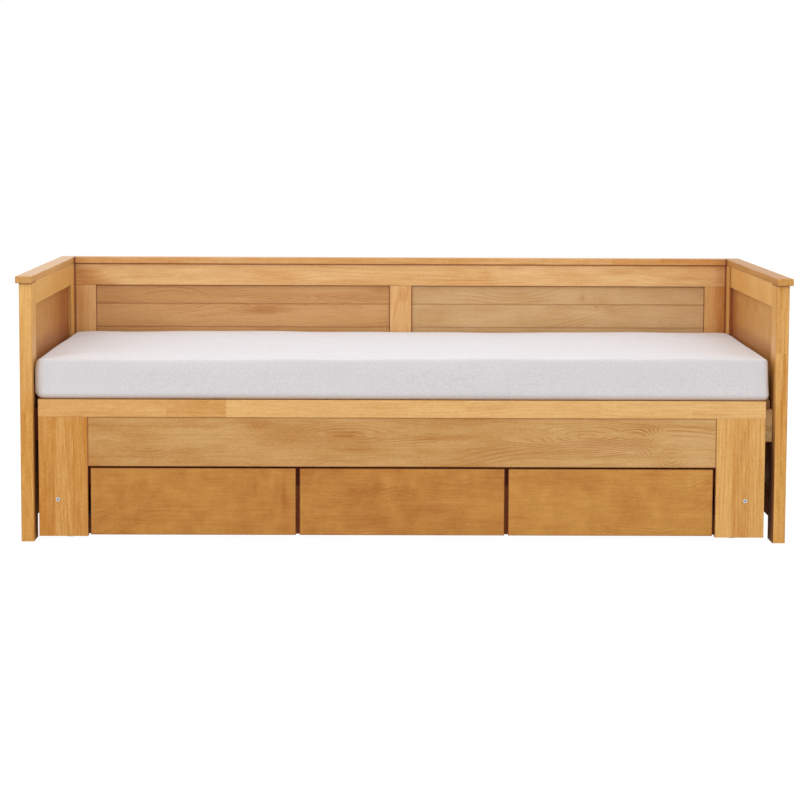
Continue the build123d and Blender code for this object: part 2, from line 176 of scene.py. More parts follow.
finishes = {
    "honey": {"light": tint(231, 189, 130), "dark": tint(197, 131, 54), "ruddy": tint(184, 108, 28),
              "line": tint(180, 100, 16), "flow": (1.5, 9.0), "flame": 9.0, "straight": 60.0, "lines": 0.28,
              "clouds": 1.15, "cloudFlow": (3.8, 15.0), "fibre": 0.30, "flecks": 0.62, "streaks": 0.22, "pores": 0.18,
              "variety": 0.24, "ruddiness": 0.42, "roughness": 0.36, "shine": 0.42},
    "deepHoney": {"light": tint(238, 190, 114), "dark": tint(194, 126, 40), "ruddy": tint(182, 100, 18),
                  "line": tint(176, 90, 6), "flow": (1.5, 9.0), "flame": 7.0, "straight": 90.0, "lines": 0.25,
                  "clouds": 0.7, "cloudFlow": (3.0, 22.0), "fibre": 0.46, "flecks": 0.62, "streaks": 0.34,
                  "pores": 0.20, "variety": 0.24, "ruddiness": 0.34, "roughness": 0.36, "shine": 0.36},
    "armRail": {"light": tint(224, 173, 97), "dark": tint(190, 112, 18), "ruddy": tint(172, 84, 16),
                "line": tint(176, 90, 6), "flow": (1.0, 3.0), "flame": 1.0, "straight": 0.0, "lines": 0.0,
                "clouds": 0.9, "cloudFlow": (6.0, 8.0), "fibre": 0.16, "flecks": 0.55, "streaks": 0.0, "pores": 0.10,
                "variety": 0.0, "ruddiness": 0.25, "roughness": 0.36, "shine": 0.42},
    "cap": {"light": tint(216, 163, 94), "dark": tint(176, 118, 52), "ruddy": tint(168, 96, 32),
            "line": tint(150, 80, 20), "flow": (1.0, 12.0), "flame": 4.0, "straight": 60.0, "lines": 0.1,
            "clouds": 0.8, "cloudFlow": (4.0, 24.0), "fibre": 0.34, "flecks": 0.60, "streaks": 0.34, "pores": 0.20,
            "variety": 0.0, "ruddiness": 0.25, "roughness": 0.33, "shine": 0.5},
    "fascia": {"light": tint(216, 174, 113), "dark": tint(178, 117, 36), "ruddy": tint(172, 100, 14),
               "line": tint(164, 88, 4), "flow": (1.9, 8.5), "flame": 13.0, "straight": 45.0, "lines": 0.72,
               "clouds": 1.3, "cloudFlow": (4.0, 15.0), "fibre": 0.24, "flecks": 0.60, "streaks": 0.26, "pores": 0.18,
               "variety": 0.0, "ruddiness": 0.40, "roughness": 0.38, "shine": 0.42},
    "amber": {"light": tint(214, 167, 111), "dark": tint(182, 127, 69), "ruddy": tint(170, 104, 38),
              "line": tint(166, 92, 16), "flow": (1.4, 7.0), "flame": 18.0, "straight": 30.0, "lines": 0.46,
              "clouds": 0.9, "cloudFlow": (3.0, 12.0), "fibre": 0.28, "flecks": 0.58, "streaks": 0.20, "pores": 0.16,
              "variety": 0.06, "ruddiness": 0.38, "roughness": 0.38, "shine": 0.42},
    "pale": {"light": tint(217, 181, 133), "dark": tint(186, 141, 84), "ruddy": tint(180, 126, 62),
             "line": tint(168, 104, 26), "flow": (2.2, 8.0), "flame": 16.0, "straight": 20.0, "lines": 0.42,
             "clouds": 1.1, "cloudFlow": (7.0, 14.0), "fibre": 0.30, "flecks": 0.62, "streaks": 0.14, "pores": 0.14,
             "variety": 0.06, "ruddiness": 0.28, "roughness": 0.38, "shine": 0.42},
    "drawer": {"light": tint(208, 150, 66), "dark": tint(168, 99, 16), "ruddy": tint(162, 80, 10),
               "line": tint(152, 78, 0), "flow": (5.0, 8.0), "flame": 12.0, "straight": 40.0, "lines": 0.42,
               "clouds": 1.3, "cloudFlow": (18.0, 14.0), "fibre": 0.32, "flecks": 0.55, "streaks": 0.12, "pores": 0.12,
               "variety": 0.0, "ruddiness": 0.40, "roughness": 0.34, "shine": 0.42},
    "armPanel": {"light": tint(218, 167, 96), "dark": tint(174, 111, 52), "ruddy": tint(156, 80, 36),
                 "line": tint(140, 66, 20), "flow": (1.6, 9.0), "flame": 9.0, "straight": 30.0, "lines": 0.08,
                 "clouds": 0.8, "cloudFlow": (7.0, 10.0), "fibre": 0.22, "flecks": 0.55, "streaks": 0.06, "pores": 0.10,
                 "variety": 0.06, "ruddiness": 0.14, "roughness": 0.5, "shine": 0.2},
    "plain": {"light": tint(222, 184, 130), "dark": tint(184, 134, 80), "ruddy": tint(178, 116, 56),
              "line": tint(150, 86, 30), "flow": (1.5, 9.0), "flame": 12.0, "straight": 30.0, "lines": 0.26,
              "clouds": 0.7, "cloudFlow": (3.0, 13.0), "fibre": 0.22, "flecks": 0.36, "streaks": 0.18, "pores": 0.18,
              "variety": 0.30, "ruddiness": 0.26, "roughness": 0.6, "shine": 0.2},
    # painted light: a paler laminated finish for the lit right ledger
    "litLaminated": {"light": tint(255, 224, 160), "dark": tint(224, 168, 104), "ruddy": tint(186, 120, 60),
                  "line": tint(150, 86, 30), "flow": (1.5, 9.0), "flame": 12.0, "straight": 30.0, "lines": 0.2,
                  "clouds": 0.4, "cloudFlow": (3.0, 13.0), "fibre": 0.22, "flecks": 0.36, "streaks": 0.1, "pores": 0.18,
                  "variety": 0.8, "ruddiness": 0.1, "roughness": 0.6, "shine": 0.2},
    "unstained": {"light": tint(236, 212, 172), "dark": tint(204, 168, 118), "ruddy": tint(200, 154, 100),
                  "line": tint(178, 128, 68), "flow": (1.5, 9.0), "flame": 16.0, "straight": 20.0, "lines": 0.26,
                  "clouds": 0.6, "cloudFlow": (3.0, 13.0), "fibre": 0.18, "flecks": 0.36, "streaks": 0.12,
                  "pores": 0.14, "variety": 0.16, "ruddiness": 0.16, "roughness": 0.6, "shine": 0.3},
}
finishes["duskyCap"] = {**finishes["cap"], "shine": 0.05}
finishes["stile"] = {**finishes["honey"], "lines": 0.1, "flame": 3.0, "streaks": 0.1}
finishes["backRail"] = {**finishes["honey"], "clouds": 1.6}
finishes["frontRail"] = {**finishes["deepHoney"], "light": tint(234, 188, 121), "lines": 0.12, "streaks": 0.18,
                         "fibre": 0.34}
board = {"strip": 0.044, "length": 0.42, "finger": 0.008,  # strips, their lengths, and the finger joints' pitch
         "plainTone": 0.55, "cutContrast": 1.8, "markEdge": 1.15, "steepAt": 0.003,
         "arris": 0.0016, "arrisStain": 0.3, "endStain": 0.12, "seam": tint(112, 46, 18),
         "innerSkin": (0.001, 0.003), "bump": 0.35, "poreDepth": 0.00012, "dullness": 0.55}
axes = {"x": 0, "y": 1, "z": 2}


def makeTimber(name, finishName, along, across, strip=None, start=None, length=None, cuts=None, lanes=None,
               seed=0.0, tone=0.0, marks=(), joints=(), fade=None, calm=None, dull=None, inward=None, arris=True):
    # figure: the contour lines of one slow noise, drawn out along the board, so they close into loops and
    # arches on a flat face and run straight on a narrow one; marks add their own rings round a chosen place
    # cuts and lanes: where each piece of the board starts, along and across it, and its grey
    # marks: place along and across, reach along and across, number of rings, darkening
    # joints: axis, place on it, reach, strength, and where they differ the colour and "inner"
    look = finishes[finishName]
    low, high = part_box(name)
    middle, half = (low + high) / 2, (high - low) / 2
    strip = strip or board["strip"]
    length = length or board["length"]
    a, b = axes[along], axes[across]
    c = 3 - a - b
    start = low[b] if start is None else start

    shader = Shader(name + "_timber")
    parts = shader.split(shader.objectPlace())
    run, width, depth = parts[a], parts[b], parts[c] - middle[c]

    def steps(value, axis, table):
        # a tone for each stretch of the board: the places where the stretches start, and their greys
        reach = high[axis] - low[axis]
        stops = [(max(0.0, (at - low[axis]) / reach), grey) for at, grey in table]
        return shader.add("ValToRGB", {"stops": stops, "interpolation": "CONSTANT"}, {0: (value - low[axis]) / reach})

    stripNumber = ((width - start) / strip).floor()
    cutTone = 0.0
    if cuts:  # lengths chosen one by one
        ramp = steps(run, a, cuts)
        lengthNumber = (ramp * 97.0).floor()
        cutTone = (ramp - 0.5) * board["cutContrast"]
    else:  # lengths meet in finger joints, zigzag across the depth
        fingers = abs((depth / board["finger"]).fraction() - 0.5) * board["finger"]
        lengthNumber = ((run + fingers) / length + stripNumber * 0.618 + seed * 0.37).floor()
    if lanes:
        cutTone = cutTone + (steps(width, b, lanes) - 0.5) * board["cutContrast"]
    chance = shader.add("TexWhiteNoise", {"noise_dimensions": "3D"},
                        {"Vector": shader.join(stripNumber, lengthNumber, seed)}, 1)
    third = shader.split(chance)[2]
    offset = shader.vector("MULTIPLY", chance, (9.0, 5.0, 3.0))
    place = shader.join(run, width, depth)

    def stretched(flow, detail, rough=0.5, at=place):
        moved = shader.vector("ADD", at, offset)
        return shader.noise(shader.vector("MULTIPLY", moved, (flow[0], flow[1], flow[1])), 1.0, detail, rough)

    waver = stretched((8.0, 38.0), 2.0)

    def rings(at, level):
        # the ring count at a place: the rise across the board, the slow noise, and each mark's own cone
        sway = (stretched(look["flow"], 1.0, at=at) - 0.5) * look["flame"]
        phase = waver * 0.55 + level * look["straight"]
        markTone = 0.0
        edge = board["markEdge"]
        for markRun, markWidth, reachAlong, reachAcross, count, darker in marks:
            moved = shader.vector("SUBTRACT", at, (markRun, markWidth, 0.0))
            scaled = shader.vector("MULTIPLY", moved, (1 / reachAlong, 1 / reachAcross, 2.0))
            apart = shader.add("VectorMath", {"operation": "LENGTH"}, {0: scaled}, 1) + (waver - 0.5) * 0.4
            rise = shader.smooth(apart, 0.0, edge, 1.0, 0.0)
            sway = sway * (1 - rise * 0.8)
            phase = phase + (1 - apart / edge).most(0.0) * count
            markTone = markTone + rise * darker
        return phase + sway, markTone

    phase, markTone = rings(place, width + depth * 0.8)
    presence = shader.smooth(stretched((2.4, 10.0), 1.0), 0.38, 0.62, 0.25, 1.0)
    if calm:  # the figure is faint on one side of this stretch of the board
        presence = presence * shader.smooth(run, calm[0], calm[1], 0.3, 1.0)
    if marks:
        presence = (presence + abs(markTone) * 3.0).least(1.3)
        step = board["steepAt"]  # where the rings run far apart they fade out, and never pool
        beside = rings(shader.vector("ADD", place, (0.0, step, 0.0)), width + step + depth * 0.8)[0]
        presence = presence * shader.smooth(abs(beside - phase), 0.04, 0.34)
    tooth = phase.fraction()
    late = shader.smooth(tooth, 0.2, 0.88)  # a ring darkens slowly and ends at once
    growth = late * late * shader.smooth(tooth, 0.9, 1.0, 1.0, 0.0) * presence

    clouds = stretched(look["cloudFlow"], 3.0, 0.55)
    fibre = stretched((12.0, 230.0), 2.0, 0.6)
    flecks = stretched((130.0, 340.0), 2.0, 0.6)
    streaks = shader.smooth(stretched((2.2, 130.0), 1.0), 0.58, 0.78)
    pores = shader.smooth(stretched((70.0, 1500.0), 0.0), 0.60, 0.74)

    shade = board["plainTone"] + tone + cutTone + (clouds - 0.5) * look["clouds"] + (fibre - 0.5) * look["fibre"] * 2.0
    shade = shade + (flecks - 0.5) * look["flecks"] - streaks * look["streaks"] - pores * look["pores"] - markTone
    if not cuts:
        shade = shade + (third - 0.5) * look["variety"]
    inner = 1.0
    if inward:  # a mask for the skin of the face towards the bed's middle
        nearest = min(abs(low[axes[inward]]), abs(high[axes[inward]]))
        skin, under = board["innerSkin"]
        inner = shader.smooth(abs(parts[axes[inward]]), nearest + skin, nearest + under, 1.0, 0.0)
    if fade:  # a slow change of tone: its axis, start, end and amount; one across the grain keeps to the inner face, where it is painted shade
        fadeAxis, fadeStart, fadeEnd, amount = fade
        change = shader.smooth(parts[axes[fadeAxis]], fadeStart, fadeEnd) * amount
        shade = shade + (change if fadeAxis == along else change * inner)
    shade = shade.maths("ADD", 0.0, clamp=True)
    colour = shader.blend(shade, look["dark"], look["light"])
    warm = shader.smooth(waver * 0.6 + clouds * 0.4 + markTone * 0.5, 0.52, 0.78, 0.0, look["ruddiness"])
    colour = shader.blend(warm, colour, look["ruddy"])
    colour = shader.blend(growth * look["lines"], colour, look["line"])
    if arris:  # stain gathers along the arrises: the middle one of the three distances to the board's faces
        gaps = [half[i] - abs(parts[i] - middle[i]) for i in range(3)]
        ends = shader.smooth(gaps[a], 0.0004, 0.0014, board["endStain"], 0.0)  # and in the end grain
        colour = shader.blend(ends, colour, board["seam"])
        second = gaps[0].least(gaps[1]).most(gaps[0].most(gaps[1]).least(gaps[2]))
        stain = shader.smooth(second, 0.0003, board["arris"], board["arrisStain"], 0.0)
        colour = shader.blend(stain, colour, board["seam"])
    for joint, at, reach, strength, *other in joints:  # and where two boards meet, at a plane across one axis; these bands also carry painted shade and shadow
        near = shader.smooth(abs(parts[axes[joint]] - at), reach * 0.2, reach, strength, 0.0)
        if "inner" in other[1:]:
            near = near * inner
        colour = shader.blend(near, colour, other[0] if other else board["seam"])

    height = (fibre - 0.5) * 0.5 - pores - growth * 0.25
    normal = shader.bump(board["bump"], board["poreDepth"], height)
    roughness = look["roughness"] + (fibre - 0.5) * 0.12 + pores * 0.12
    if dull:  # the lacquer is thin and matt low on the arms: below the first height, fading out at the second
        roughness = roughness + shader.smooth(parts[axes["z"]], dull[0], dull[1], board["dullness"], 0.0)
    material = shader.principled({"Base Color": colour, "Roughness": roughness, "Normal": normal,
                                  "Specular IOR Level": look["shine"]})
    dress(name, material)


def dress(name, material):
    nodes[name].data.materials.clear()
    nodes[name].data.materials.append(material)


seeds = iter(range(1, 200))


def timber(names, finishName, along, across, **changes):
    for name in [names] if isinstance(names, str) else names:
        makeTimber(name, finishName, along, across, seed=float(next(seeds)), **changes)


def frameJoints(along, first, second, across, lower, upper, reach=0.0036, strength=0.85):
    # the four dark lines where a panel meets the boards round it: stain in the joints and painted shade of the panel's
    # recess
    places = [(along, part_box(first)[1][axes[along]]), (along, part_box(second)[0][axes[along]]),
              (across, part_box(lower)[1][axes[across]]), (across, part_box(upper)[0][axes[across]])]
    return [(axis, place, reach, strength) for axis, place in places]


bothSides = ("left", "right")
reddened = tint(140, 68, 30)
mattLow = (0.36, 0.44)
# painted shadow: a reddish line on each front post just under the overhang of its cap
capShadow = ("z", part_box("left_arm_cap")[0].z, 0.004, 0.85, reddened)
timber("left_arm_front_post", "deepHoney", "z", "y", cuts=[(0.0, 0.39), (0.352, 0.45)],
       fade=("z", 0.35, 0.69, 0.23), joints=[capShadow], dull=mattLow)
# painted shade: a dark band low on the right front post's inner face, in the shade under the bed
timber("right_arm_front_post", "deepHoney", "z", "y", length=2.0, tone=-0.13, fade=("z", 0.3, 0.6, 0.16), dull=mattLow,
       joints=[capShadow, ("z", 0.12, 0.34, 0.85, tint(92, 34, 12), "inner")], inward="x")
# per arm: reach and strength of the painted shade line at the rear post, strength of the painted shade low on the
# bottom rail, the panel's tone, and the reach of the panel's painted corner shade
arms = {
    "left": {"lineReach": 0.003, "rearShadeStrength": 0.4, "railStain": 0.5, "panelTone": -0.07, "cornerReach": 0.4},
    "right": {"lineReach": 0.024, "rearShadeStrength": 0.9, "railStain": 0.9, "panelTone": 0.11, "cornerReach": 0.16},
}
mattressShadow = ("z", 0.497, 0.05, 0.45, reddened, "inner")  # painted shadow of the mattress: a reddish band on a panel's inner face where the mattress lies against it
for side, arm in arms.items():
    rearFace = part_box(f"{side}_arm_rear_post")[0].y
    railLine = ("z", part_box(f"{side}_arm_top_rail")[0].z, 0.003, 0.6)
    frontLine = ("y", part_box(f"{side}_arm_front_post")[1].y, 0.008, 0.4)
    # painted shade: a dark reddish line at the front face of the rear post, on the post and the top rail
    rearShadeLine = ("y", rearFace, arm["lineReach"], arm["rearShadeStrength"], reddened)
    # painted shade: a broad reddish band on the panel's inner face towards the rear post
    corner = ("y", rearFace, arm["cornerReach"], 0.5, reddened, "inner")
    timber(f"{side}_arm_rear_post", "deepHoney", "z", "y", strip=0.2, tone=0.1, joints=[rearShadeLine])
    # painted sheen: the top rail is paler towards the front
    timber(f"{side}_arm_top_rail", "armRail", "y", "z", strip=0.2, length=2.0, tone=0.15, arris=False,
           fade=("y", 0.3, -0.42, 0.25), joints=[rearShadeLine])
    # painted shade: the bottom rail's inner face is darkened low down, in the shade under the bed
    timber(f"{side}_arm_bottom_rail", "armRail", "y", "z", strip=0.2, length=2.0, inward="x", dull=mattLow,
           joints=[("z", 0.09, 0.3, arm["railStain"], tint(126, 54, 8), "inner")])
    # the panel's inner face darkens towards the rear as painted shade; its lines at the rails and posts are dark joints
    # with painted shade of the recess
    timber(f"{side}_arm_panel", "armPanel", "z", "y", strip=1.0, length=2.0, tone=arm["panelTone"], inward="x",
           fade=("y", -0.42, 0.42, -0.4),
           joints=[railLine, ("y", rearFace, 0.002, 0.8), mattressShadow, corner, frontLine])
timber("left_arm_cap", "cap", "y", "x", strip=0.2, length=3.0, tone=0.15, arris=False)
capLow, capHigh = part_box("right_arm_cap")
timber("right_arm_cap", "duskyCap", "y", "x", strip=0.2, length=3.0, tone=0.18, arris=False, joints=[
    ("z", capHigh.z, 0.0012, 0.5, tint(162, 104, 42)), ("x", capLow.x, 0.0012, 0.3, tint(150, 92, 50))])

# painted shade: the back is darker where it meets the arms, a dark line in the gap and a broader reddish band beside it
cornerShade = [("x", -1.0, 0.008, 0.95), ("x", 1.0, 0.008, 0.95), ("x", -1.0, 0.05, 0.22, reddened),
        ("x", 1.0, 0.05, 0.3, reddened)]
# painted shadow: a reddish line on the back's top rail just under the overhang of the cap
backCapShadow = ("z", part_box("back_cap")[0].z, 0.0055, 0.8, reddened)
timber("back_top_rail", "backRail", "x", "z", strip=0.2, length=9.0, tone=0.16, joints=[*cornerShade, backCapShadow], marks=[
    (-0.966, 0.668, 0.070, 0.020, 1.0, 0.35), (-0.946, 0.640, 0.085, 0.026, 1.0, 0.45),
    (-0.722, 0.660, 0.12, 0.020, 1.0, 0.12), (-0.355, 0.661, 0.10, 0.022, 1.0, 0.08),
    (-0.131, 0.645, 0.14, 0.012, 1.0, 0.24),
    (0.261, 0.664, 0.035, 0.030, 0.5, 0.16), (0.703, 0.678, 0.10, 0.018, 1.0, 0.10),
    (0.857, 0.660, 0.11, 0.016, 1.5, 0.18)])
timber("back_bottom_rail", "honey", "x", "z", strip=0.07, length=0.6, joints=cornerShade)
timber("back_left_stile", "stile", "z", "x", strip=0.2, length=2.0, tone=0.16, joints=cornerShade)
timber("back_centre_stile", "honey", "z", "x", strip=0.2, length=2.0, tone=0.14)
# painted shade: the right stile darkens towards the corner at the right arm
timber("back_right_stile", "stile", "z", "x", strip=0.2, length=2.0, tone=0.14, joints=cornerShade,
       fade=("x", 0.92, 1.0, -0.45))
frameRails = ("z", "back_bottom_rail", "back_top_rail")
planks = {"strip": 0.0716, "start": 0.5755, "length": 9.0}
timber("back_left_panel", "amber", "x", "z", **planks,
       joints=frameJoints("x", "back_left_stile", "back_centre_stile", *frameRails), marks=[
           (-0.690, 0.589, 0.10, 0.036, 3.0, 0.02), (-0.371, 0.590, 0.15, 0.020, 4.0, 0.10),
           (-0.064, 0.616, 0.055, 0.022, 3.0, 0.18), (-0.417, 0.558, 0.12, 0.020, 2.0, 0.36),
           (-0.831, 0.518, 0.20, 0.034, 3.0, 0.06), (-0.156, 0.597, 0.17, 0.014, 2.0, 0.16)])
timber("back_right_panel", "pale", "x", "z", **planks,
       joints=frameJoints("x", "back_centre_stile", "back_right_stile", *frameRails), marks=[
           (0.619, 0.597, 0.050, 0.036, 4.0, 0.10), (0.560, 0.597, 0.015, 0.014, 1.0, 0.2),
           (0.600, 0.569, 0.012, 0.012, 1.0, 0.2), (0.650, 0.560, 0.03, 0.020, 1.5, 0.12),
           (0.490, 0.544, 0.14, 0.032, 2.5, 0.05), (0.367, 0.614, 0.10, 0.022, 1.5, 0.07)])
timber("back_cap", "honey", "x", "y", tone=-0.12, strip=0.1, joints=cornerShade,
       cuts=[(-1.05, 0.45), (-0.905, 0.5), (-0.248, 0.53), (-0.046, 0.43), (0.193, 0.47), (0.641, 0.5), (0.794, 0.42)])

timber("pullout_front_rail", "frontRail", "x", "z", strip=0.06, tone=0.2, fade=("x", -0.9, -0.3, 0.1), arris=False,
       cuts=[(-0.987, 0.38), (-0.643, 0.31), (-0.481, 0.47), (0.531, 0.50), (0.772, 0.48)])
legStrip = 0.0442
# painted shade: a reddish line along each leg's inner edge, where the fascia is set back
timber("pullout_left_leg", "deepHoney", "z", "x", strip=legStrip, length=2.0, tone=-0.28, arris=False,
       joints=[("x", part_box("pullout_left_leg")[1].x, 0.0025, 0.6, reddened)],
       lanes=[(-0.988, 0.47), (-0.944, 0.54), (-0.899, 0.485)])
timber("pullout_right_leg", "deepHoney", "z", "x", strip=legStrip, length=2.0, arris=False,
       joints=[("x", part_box("pullout_right_leg")[0].x, 0.0025, 0.6, reddened)],
       lanes=[(0.850, 0.52), (0.894, 0.48), (0.939, 0.5)])


def gapShadeEdges(name, reach=0.003, strength=0.5):
    # painted shade: the edges of a front that stands in a gap are darkened with a reddish colour
    low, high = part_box(name)
    return [(axis, place[axes[axis]], reach, strength, reddened) for axis in "xz" for place in (low, high)]


timber("pullout_fascia", "fascia", "x", "z", strip=0.4, length=9.0, calm=(-0.54, -0.36), fade=("x", 0.1, 0.8, 0.24),
       tone=-0.02, joints=gapShadeEdges("pullout_fascia"),
       marks=[(-0.830, 0.180, 0.14, 0.060, 7.0, 0.2), (-0.690, 0.256, 0.13, 0.055, 4.0, 0.09),
              (-0.396, 0.317, 0.050, 0.015, 3.0, 0.24), (-0.168, 0.290, 0.24, 0.034, 6.0, 0.10),
              (-0.160, 0.288, 0.06, 0.006, 1.0, 0.22), (-0.187, 0.186, 0.13, 0.040, 5.0, 0.08),
              (0.110, 0.284, 0.15, 0.012, 1.5, 0.26), (0.490, 0.288, 0.21, 0.044, 8.0, 0.07),
              (0.650, 0.285, 0.06, 0.040, 4.0, 0.05), (0.722, 0.226, 0.08, 0.056, 6.0, 0.12)])
timber("left_drawer_front", "drawer", "x", "z", strip=0.4, length=9.0, tone=-0.06, joints=gapShadeEdges("left_drawer_front"),
       marks=[(-0.325, 0.120, 0.011, 0.060, 0.6, 0.26), (-0.345, 0.160, 0.012, 0.030, 0.5, 0.14),
              (-0.403, 0.149, 0.012, 0.034, 0.5, 0.16), (-0.579, 0.112, 0.12, 0.070, 1.0, -0.14)])
timber("middle_drawer_front", "drawer", "x", "z", strip=0.4, length=9.0, tone=-0.08,
       joints=gapShadeEdges("middle_drawer_front"), marks=[
           (-0.086, 0.059, 0.070, 0.034, 4.0, 0.10), (0.076, 0.092, 0.060, 0.030, 4.0, 0.10),
           (0.125, 0.049, 0.055, 0.030, 3.5, 0.10)])
timber("right_drawer_front", "drawer", "x", "z", strip=0.4, length=9.0, tone=0.12, joints=gapShadeEdges("right_drawer_front"),
       marks=[(0.477, 0.176, 0.18, 0.020, 3.0, 0.10), (0.641, 0.055, 0.16, 0.028, 3.5, 0.08)])


def shadedFrontEdge(name, colour, reach=0.03):
    # painted shade: the front edge of a board seen in a gap behind the fronts is darkened with a given colour over a
    # given reach
    return [("y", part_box(name)[0].y, reach, 1.0, colour)]


# painted shade and light: the left ledger is darker, most at its end, as in the shade of the left front post, and the
# right one paler, as lit
timber("left_ledger", "plain", "y", "z", strip=0.03, tone=-0.3,
       joints=shadedFrontEdge("left_ledger", tint(118, 56, 30), 0.2))
timber("right_ledger", "litLaminated", "y", "z", strip=0.0147, tone=0.25)
timber(["back_ledger", "front_bearer"], "plain", "x", "z", strip=0.045)
timber(["fixed_slats", "sliding_slats"], "plain", "y", "x", strip=0.074, length=5.0, arris=False)
timber(["sliding_slat_batten", "sliding_slat_stop_batten"], "plain", "x", "z")
for side in bothSides:
    timber(f"case_{side}_side", "plain", "y", "z", strip=0.06,
           joints=shadedFrontEdge(f"case_{side}_side", tint(120, 52, 26)))
# painted shade colours for the rails seen in the gaps above and below the drawers
for level, colour in (("top", tint(116, 56, 30)), ("bottom", tint(158, 92, 52))):
    timber(f"case_{level}_rail", "plain", "x", "z", strip=0.06, joints=shadedFrontEdge(f"case_{level}_rail", colour))
timber("case_back", "plain", "x", "z", strip=0.06)
timber("case_stiles", "plain", "z", "x", arris=False, joints=shadedFrontEdge("case_stiles", tint(158, 92, 52)))
timber("drawer_runners", "plain", "y", "x", arris=False)
drawerNames = ("left", "middle", "right")
timber([f"{name}_drawer_sides" for name in drawerNames], "unstained", "y", "z", strip=0.09, length=3.0, arris=False)
timber([f"{name}_drawer_back" for name in drawerNames], "unstained", "x", "z", strip=0.12, length=3.0)
timber([f"{name}_drawer_bottom" for name in drawerNames], "unstained", "x", "y", strip=0.8, length=3.0)
print("timber finished")


# Metal and nylon

metal = {"zinc": tint(196, 198, 202), "cloudyZinc": tint(168, 168, 164), "zincRoughness": 0.28,
         "blackPaint": tint(38, 38, 40), "dust": tint(90, 86, 80), "paintRoughness": 0.5,
         "nylon": tint(74, 74, 76), "scuffedNylon": tint(112, 110, 106), "nylonRoughness": 0.45,
         "socket": 0.002, "socketShade": tint(52, 46, 44)}


def makeZinc():
    # plated steel: a soft noise clouds it, and one drawn flat along z gives fine scratches
    shader = Shader("zinc_plate")
    place = shader.objectPlace()
    clouds = shader.noise(place, 900.0, 3.0)
    scratches = shader.noise(shader.vector("MULTIPLY", place, (400.0, 400.0, 4000.0)), 1.0, 1.0)
    colour = shader.blend(clouds, metal["zinc"], metal["cloudyZinc"])
    roughness = metal["zincRoughness"] + clouds * 0.15 + scratches * 0.08
    normal = shader.bump(0.2, 0.00005, scratches)
    return shader.principled({"Base Color": colour, "Metallic": 1.0, "Roughness": roughness, "Normal": normal})


def makePaint():
    # a fine noise is the orange peel, and dust lies where a slow one is high
    shader = Shader("black_paint")
    place = shader.objectPlace()
    orangePeel = shader.noise(place, 1600.0, 2.0)
    dust = shader.smooth(shader.noise(place, 60.0, 4.0), 0.5, 0.8, 0.0, 0.25)
    colour = shader.blend(dust, metal["blackPaint"], metal["dust"])
    normal = shader.bump(0.4, 0.0001, orangePeel)
    roughness = metal["paintRoughness"] + orangePeel * 0.12
    return shader.principled({"Base Color": colour, "Roughness": roughness, "Normal": normal})


def makeNylon():
    # the tread is scuffed paler and rougher where a noise is high
    shader = Shader("wheel_nylon")
    place = shader.objectPlace()
    scuffs = shader.smooth(shader.noise(place, 140.0, 4.0, 0.65), 0.48, 0.72)
    fine = shader.noise(place, 2200.0, 1.0)
    colour = shader.blend(scuffs * 0.5, metal["nylon"], metal["scuffedNylon"])
    normal = shader.bump(0.3, 0.0001, fine - scuffs * 0.6)
    roughness = metal["nylonRoughness"] + scuffs * 0.2
    return shader.principled({"Base Color": colour, "Roughness": roughness, "Normal": normal})


def makeScrews():
    # plated like the bolts, with a hexagon socket painted dark as the shade in its hollow: the greatest of the
    # distances to its three pairs of flats
    shader = Shader("socket_screws")
    x, y, z = shader.split(shader.objectPlace())
    low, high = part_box("leg_screws")
    middle, half = (low + high) / 2, (high - low) / 2
    across = abs(x - middle.x) - (half.x - half.z)
    up = z - middle.z
    flats = abs(up)
    for way in (-1, 1):
        flats = flats.most(abs(across * (way * math.cos(math.pi / 6)) + up * math.sin(math.pi / 6)))
    socket = shader.smooth(flats, metal["socket"] * 0.9, metal["socket"], 1.0, 0.0)
    colour = shader.blend(socket, metal["zinc"], metal["socketShade"])
    rim = shader.smooth(abs(flats - metal["socket"] * 1.25), 0.0, 0.0006)
    normal = shader.bump(0.5, 0.0005, rim)
    return shader.principled({"Base Color": colour, "Metallic": 1 - socket, "Roughness": 0.22 + socket * 0.5,
                              "Normal": normal})


zinc, paint, nylon = makeZinc(), makePaint(), makeNylon()
for name in ("frame_bolts", "barrel_nuts"):
    dress(name, zinc)
dress("leg_screws", makeScrews())
dress("roller_brackets", paint)
for row in ("front", "rear"):
    for side in bothSides:
        dress(f"{row}_{side}_wheel", nylon)
print("metal and nylon finished")


# Mattress: foam in a heather knit cover

mattress = {
    "corners": ((0.024, 0.055), (0.014, 0.045)), "topEdge": 0.008, "bottomEdge": 0.018,
    "fine": 0.004, "coarse": 0.021, "fineReach": 0.04,
    "ends": (-0.993, 0.986), "inset": 0.0015, "left": 0.011, "right": 0.001, "frontBulge": 0.003,
    "taper": 0.026, "lean": 0.0016,
    "crown": 0.005, "wave": 0.0011, "sag": ((-0.003, -0.003), (0.0055, -0.003)),
    "room": (0.9995, 0.0055), "recess": (0.35, 0.395),  # from the middle to the posts, and how much more at a panel
    "pressure": 4.0, "frames": 20, "cap": 0.003, "grip": 0.05,
    # the stretched colour is painted shade for the rounded top edge
    "thread": tint(221, 217, 218), "fleck": tint(209, 205, 208), "heather": 240.0, "stretched": tint(205, 202, 204),
}


def ticks(half):
    # places along one side of the box, close together at both ends and further apart between them
    fine = np.arange(0.0, mattress["fineReach"], mattress["fine"]) if half > mattress["fineReach"] else np.array([])
    left = half - (fine[-1] if len(fine) else 0.0)
    count = max(2, int(round(2 * left / mattress["coarse"])))
    inner = np.linspace(-left, left, count + 1)
    return np.concatenate([fine[:-1] - half, inner, half - fine[:-1][::-1]]) if len(fine) else inner


